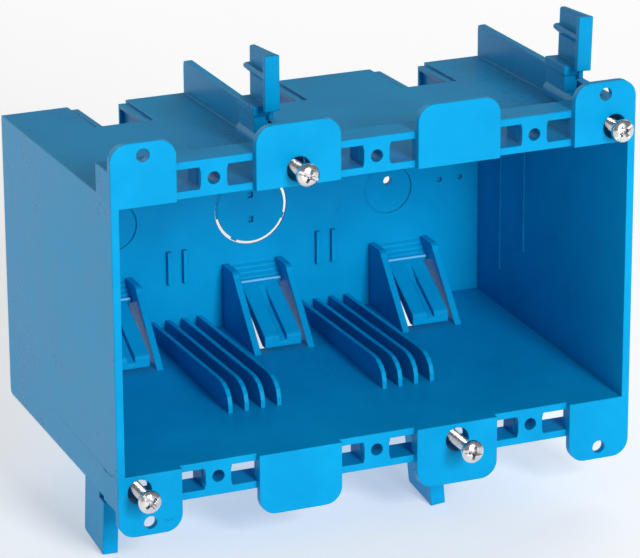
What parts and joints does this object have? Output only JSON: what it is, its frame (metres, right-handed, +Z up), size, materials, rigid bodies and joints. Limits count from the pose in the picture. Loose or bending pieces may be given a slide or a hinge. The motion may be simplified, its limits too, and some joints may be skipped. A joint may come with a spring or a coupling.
{
  "type": "three-gang old-work outlet box",
  "caption": "Plastic outlet box for a finished wall: wide open wiring cavity, ears that bear on the wallboard, screw-driven swing clamps that grip behind it, and flexing cable clamp tabs.",
  "frame": {"origin": "centre of the box opening, in the plane of the wall surface, which is the back of the ears and the front of the device rails", "axes": "+X along the row of devices to the right seen from the room, +Y into the wall, +Z up"},
  "size_m": [0.1504, 0.1043, 0.1324],
  "materials": {
    "blue_pvc": "satin moulded blue PVC",
    "zinc_steel": "bright zinc plated steel"
  },
  "bodies": {
    "box": {"box_body": "blue_pvc", "centre_knockout": "blue_pvc"},
    "screw_top_middle": {"clamp_screw_top_middle": "zinc_steel"},
    "clamp_top_middle": {"swing_clamp_top_middle": "blue_pvc"},
    "screw_top_right": {"clamp_screw_top_right": "zinc_steel"},
    "clamp_top_right": {"swing_clamp_top_right": "blue_pvc"},
    "screw_bottom_left": {"clamp_screw_bottom_left": "zinc_steel"},
    "clamp_bottom_left": {"swing_clamp_bottom_left": "blue_pvc"},
    "screw_bottom_middle": {"clamp_screw_bottom_middle": "zinc_steel"},
    "clamp_bottom_middle": {"swing_clamp_bottom_middle": "blue_pvc"},
    "tab_top_left": {"cable_tab_top_left": "blue_pvc"},
    "tab_top_middle": {"cable_tab_top_middle": "blue_pvc"},
    "tab_top_right": {"cable_tab_top_right": "blue_pvc"},
    "tab_bottom_left": {"cable_tab_bottom_left": "blue_pvc"},
    "tab_bottom_middle": {"cable_tab_bottom_middle": "blue_pvc"},
    "tab_bottom_right": {"cable_tab_bottom_right": "blue_pvc"}
  },
  "joints": [
    {"name": "turn_top_middle", "type": "hinge", "parent": "box", "child": "screw_top_middle", "pos_m": [-0.02302, 0, 0.04167], "axis": [0, 1, 0], "range_deg": [-90, 0]},
    {"name": "travel_top_middle", "type": "slide", "parent": "screw_top_middle", "child": "clamp_top_middle", "axis": [0, 1, 0], "range_m": [-0.0103, 0.01]},
    {"name": "turn_top_right", "type": "hinge", "parent": "box", "child": "screw_top_right", "pos_m": [0.06906, 0, 0.04167], "axis": [0, 1, 0], "range_deg": [-91.8, 0]},
    {"name": "travel_top_right", "type": "slide", "parent": "screw_top_right", "child": "clamp_top_right", "axis": [0, 1, 0], "range_m": [-0.011, 0.0108]},
    {"name": "turn_bottom_left", "type": "hinge", "parent": "box", "child": "screw_bottom_left", "pos_m": [-0.06906, 0, -0.04167], "axis": [0, 1, 0], "range_deg": [-92.2, 0]},
    {"name": "travel_bottom_left", "type": "slide", "parent": "screw_bottom_left", "child": "clamp_bottom_left", "axis": [0, 1, 0], "range_m": [-0.0062, 0.0126]},
    {"name": "turn_bottom_middle", "type": "hinge", "parent": "box", "child": "screw_bottom_middle", "pos_m": [0.02302, 0, -0.04167], "axis": [0, 1, 0], "range_deg": [-85, 5]},
    {"name": "travel_bottom_middle", "type": "slide", "parent": "screw_bottom_middle", "child": "clamp_bottom_middle", "axis": [0, 1, 0], "range_m": [-0.0021, 0.0147]},
    {"name": "flex_tab_top_left", "type": "hinge", "parent": "box", "child": "tab_top_left", "pos_m": [-0.04564, 0.08375, 0.0203], "axis": [1, 0, 0], "range_deg": [0, 35], "stiffness_Nm_per_rad": 0.3},
    {"name": "flex_tab_top_middle", "type": "hinge", "parent": "box", "child": "tab_top_middle", "pos_m": [0.0004, 0.08375, 0.0203], "axis": [1, 0, 0], "range_deg": [0, 35], "stiffness_Nm_per_rad": 0.3},
    {"name": "flex_tab_top_right", "type": "hinge", "parent": "box", "child": "tab_top_right", "pos_m": [0.04644, 0.08375, 0.0203], "axis": [1, 0, 0], "range_deg": [0, 35], "stiffness_Nm_per_rad": 0.3},
    {"name": "flex_tab_bottom_left", "type": "hinge", "parent": "box", "child": "tab_bottom_left", "pos_m": [-0.04644, 0.08375, -0.0203], "axis": [-1, 0, 0], "range_deg": [0, 35], "stiffness_Nm_per_rad": 0.3},
    {"name": "flex_tab_bottom_middle", "type": "hinge", "parent": "box", "child": "tab_bottom_middle", "pos_m": [-0.0004, 0.08375, -0.0203], "axis": [-1, 0, 0], "range_deg": [0, 35], "stiffness_Nm_per_rad": 0.3},
    {"name": "flex_tab_bottom_right", "type": "hinge", "parent": "box", "child": "tab_bottom_right", "pos_m": [0.04564, 0.08375, -0.0203], "axis": [-1, 0, 0], "range_deg": [0, 35], "stiffness_Nm_per_rad": 0.3}
  ]
}
